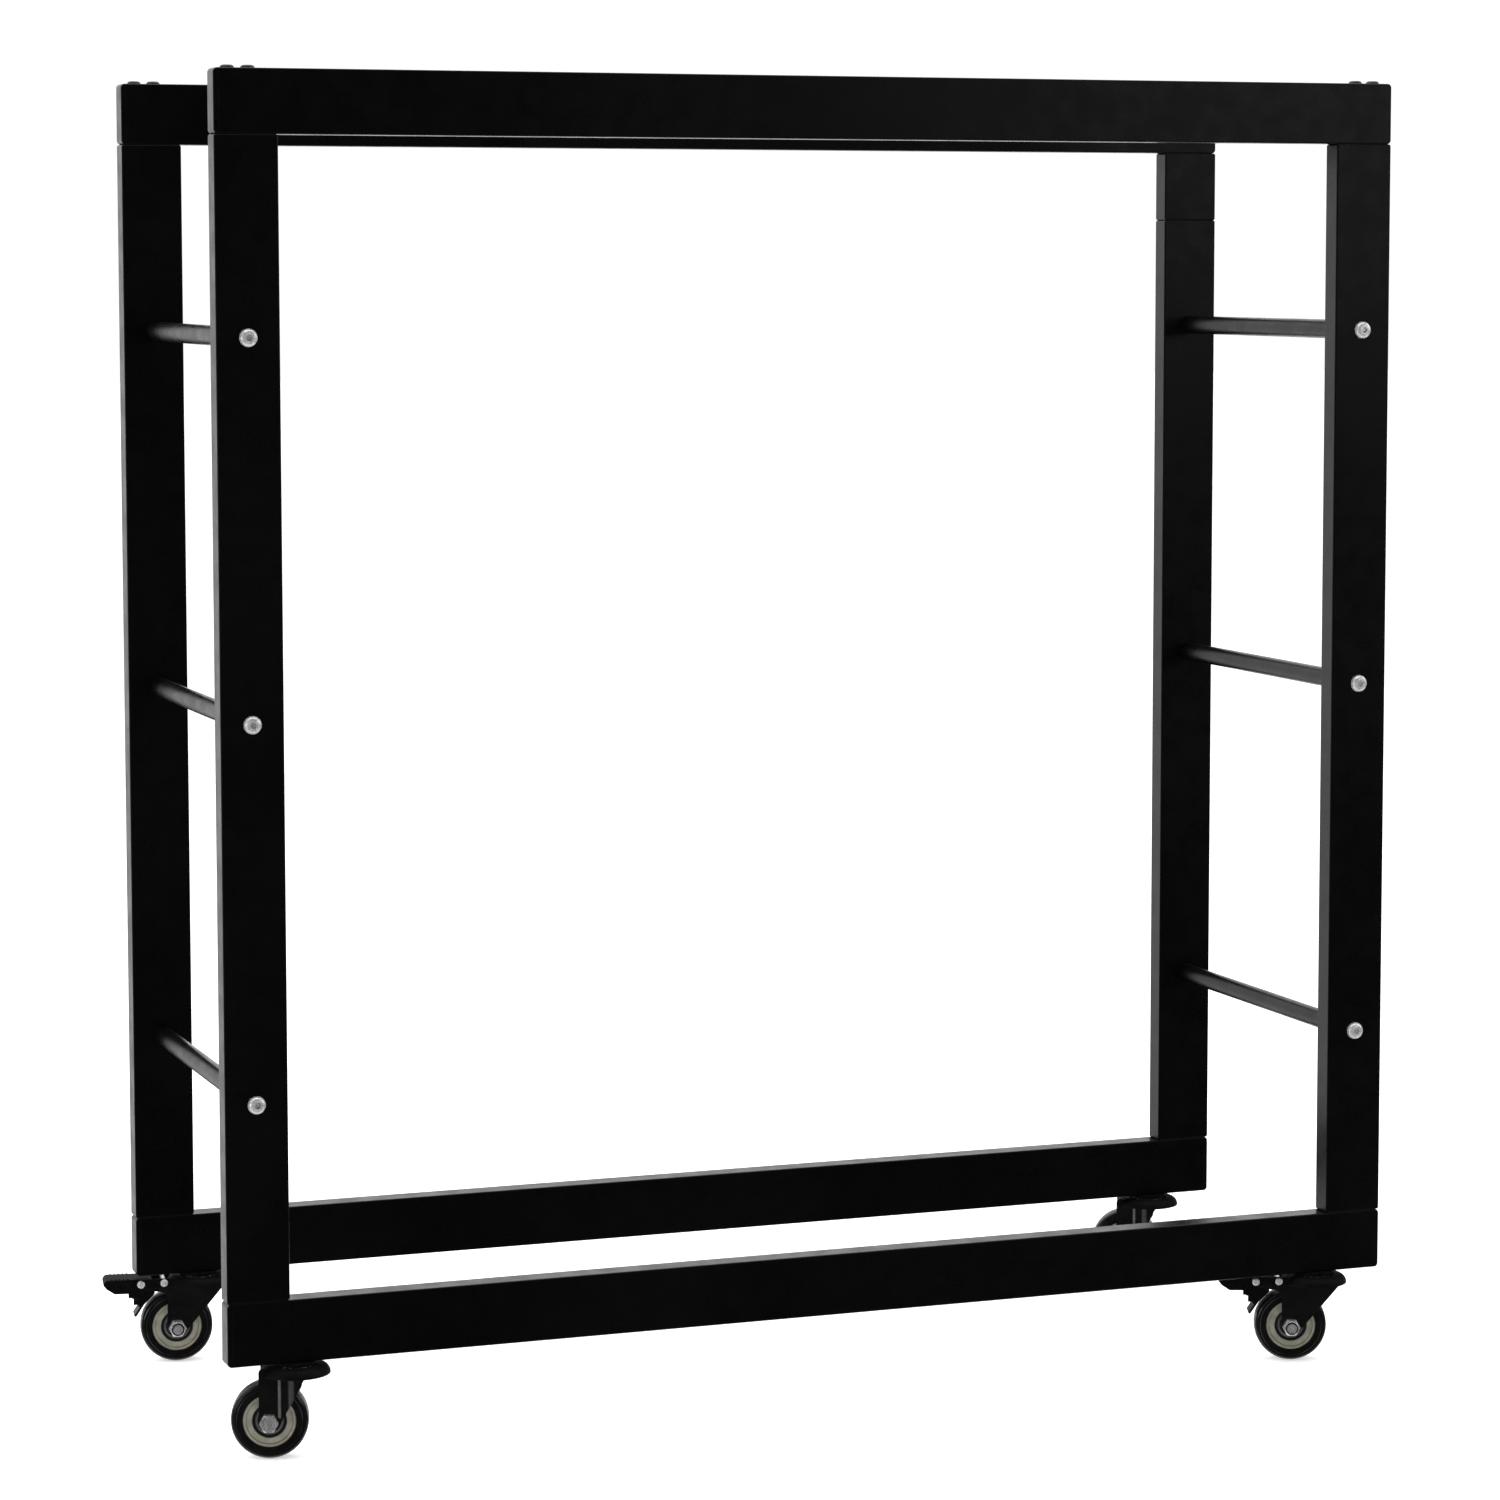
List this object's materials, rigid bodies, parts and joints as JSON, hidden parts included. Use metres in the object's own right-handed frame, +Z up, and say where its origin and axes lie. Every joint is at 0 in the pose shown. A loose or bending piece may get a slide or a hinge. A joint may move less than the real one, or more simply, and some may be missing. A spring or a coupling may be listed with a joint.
{
  "type": "firewood log rack",
  "caption": "Upright open firewood rack: front and back rectangular steel tube loops tied by round side rungs, on swivel casters, some with brake pedals.",
  "frame": {"origin": "middle of the rack's footprint at floor level, where the wheels touch", "axes": "+Z up; +X to the right along the bars, seen from the front; the front loop is on the -Y side"},
  "size_m": [1.0264, 0.3895, 1.0788],
  "materials": {
    "powder_black": "satin black powder coat",
    "zinc_plate": "bright zinc plating",
    "black_oxide": "black oxide screw finish",
    "plain_steel": "plain turned or pressed steel",
    "fork_black": "glossy black dip coat on pressed steel",
    "tyre_black": "glossy black polyurethane",
    "core_beige": "moulded nylon, olive beige",
    "bearing_steel": "ground bearing steel",
    "pedal_black": "black coated pressed steel",
    "spring_steel": "blackened spring steel"
  },
  "bodies": {
    "frame": {"front_bottom_bar": "powder_black", "front_top_bar": "powder_black", "front_left_post": "powder_black", "front_right_post": "powder_black", "back_bottom_bar": "powder_black", "back_top_bar": "powder_black", "back_left_post": "powder_black", "back_right_post_head": "powder_black", "post_joiner": "plain_steel", "back_right_post": "powder_black", "bar_end_plates": "powder_black", "post_end_plates": "plain_steel", "left_rung_low": "powder_black", "left_rung_middle": "powder_black", "left_rung_high": "powder_black", "right_rung_low": "powder_black", "right_rung_middle": "powder_black", "right_rung_high": "powder_black", "rung_plugs": "plain_steel", "rung_bolts": "zinc_plate", "top_corner_screws": "black_oxide", "bottom_corner_screws": "black_oxide", "caster_weld_nuts": "plain_steel", "caster_stems": "plain_steel", "caster_races": "fork_black", "caster_balls": "plain_steel"},
    "front_left_fork_body": {"front_left_fork": "fork_black", "front_left_axle_rings": "plain_steel", "front_left_axle_bolt": "zinc_plate", "front_left_axle_nut": "zinc_plate"},
    "front_left_wheel_body": {"front_left_tyre": "tyre_black", "front_left_wheel_core": "core_beige", "front_left_bearing_cases": "bearing_steel"},
    "front_right_fork_body": {"front_right_fork": "fork_black", "front_right_axle_rings": "plain_steel", "front_right_axle_bolt": "zinc_plate", "front_right_axle_nut": "zinc_plate", "front_right_brake_pins": "zinc_plate"},
    "front_right_wheel_body": {"front_right_tyre": "tyre_black", "front_right_wheel_core": "core_beige", "front_right_bearing_cases": "bearing_steel"},
    "front_right_pedal_body": {"front_right_brake_pedal": "pedal_black", "front_right_brake_shoe": "spring_steel"},
    "back_left_fork_body": {"back_left_fork": "fork_black", "back_left_axle_rings": "plain_steel", "back_left_axle_bolt": "zinc_plate", "back_left_axle_nut": "zinc_plate", "back_left_brake_pins": "zinc_plate"},
    "back_left_wheel_body": {"back_left_tyre": "tyre_black", "back_left_wheel_core": "core_beige", "back_left_bearing_cases": "bearing_steel"},
    "back_left_pedal_body": {"back_left_brake_pedal": "pedal_black", "back_left_brake_shoe": "spring_steel"},
    "back_right_fork_body": {"back_right_fork": "fork_black", "back_right_axle_rings": "plain_steel", "back_right_axle_bolt": "zinc_plate", "back_right_axle_nut": "zinc_plate"},
    "back_right_wheel_body": {"back_right_tyre": "tyre_black", "back_right_wheel_core": "core_beige", "back_right_bearing_cases": "bearing_steel"}
  },
  "joints": [
    {"name": "front_left_swivel", "type": "hinge", "parent": "frame", "child": "front_left_fork_body", "pos_m": [-0.43085, -0.16725, 0.0765], "axis": [0, 0, 1], "continuous": true},
    {"name": "front_left_wheel_spin", "type": "hinge", "parent": "front_left_fork_body", "child": "front_left_wheel_body", "pos_m": [-0.44997, -0.1614, 0.0305], "axis": [0.2924, 0.9563, 0], "continuous": true},
    {"name": "front_right_swivel", "type": "hinge", "parent": "frame", "child": "front_right_fork_body", "pos_m": [0.45715, -0.16725, 0.0765], "axis": [0, 0, 1], "continuous": true},
    {"name": "front_right_wheel_spin", "type": "hinge", "parent": "front_right_fork_body", "child": "front_right_wheel_body", "pos_m": [0.43861, -0.15976, 0.0305], "axis": [0.3746, 0.9272, 0], "continuous": true},
    {"name": "front_right_brake", "type": "hinge", "parent": "front_right_fork_body", "child": "front_right_pedal_body", "pos_m": [0.41079, -0.14852, 0.0687], "axis": [-0.3746, -0.9272, 0], "range_deg": [0, 8.5]},
    {"name": "back_left_swivel", "type": "hinge", "parent": "frame", "child": "back_left_fork_body", "pos_m": [-0.43085, 0.16275, 0.0765], "axis": [0, 0, 1], "continuous": true},
    {"name": "back_left_wheel_spin", "type": "hinge", "parent": "back_left_fork_body", "child": "back_left_wheel_body", "pos_m": [-0.4506, 0.16588, 0.0305], "axis": [0.1564, 0.9877, 0], "continuous": true},
    {"name": "back_left_brake", "type": "hinge", "parent": "back_left_fork_body", "child": "back_left_pedal_body", "pos_m": [-0.48023, 0.17057, 0.0687], "axis": [-0.1564, -0.9877, 0], "range_deg": [0, 8.5]},
    {"name": "back_right_swivel", "type": "hinge", "parent": "frame", "child": "back_right_fork_body", "pos_m": [0.45715, 0.16275, 0.0765], "axis": [0, 0, 1], "continuous": true},
    {"name": "back_right_wheel_spin", "type": "hinge", "parent": "back_right_fork_body", "child": "back_right_wheel_body", "pos_m": [0.43918, 0.17152, 0.0305], "axis": [0.4384, 0.8988, 0], "continuous": true}
  ]
}
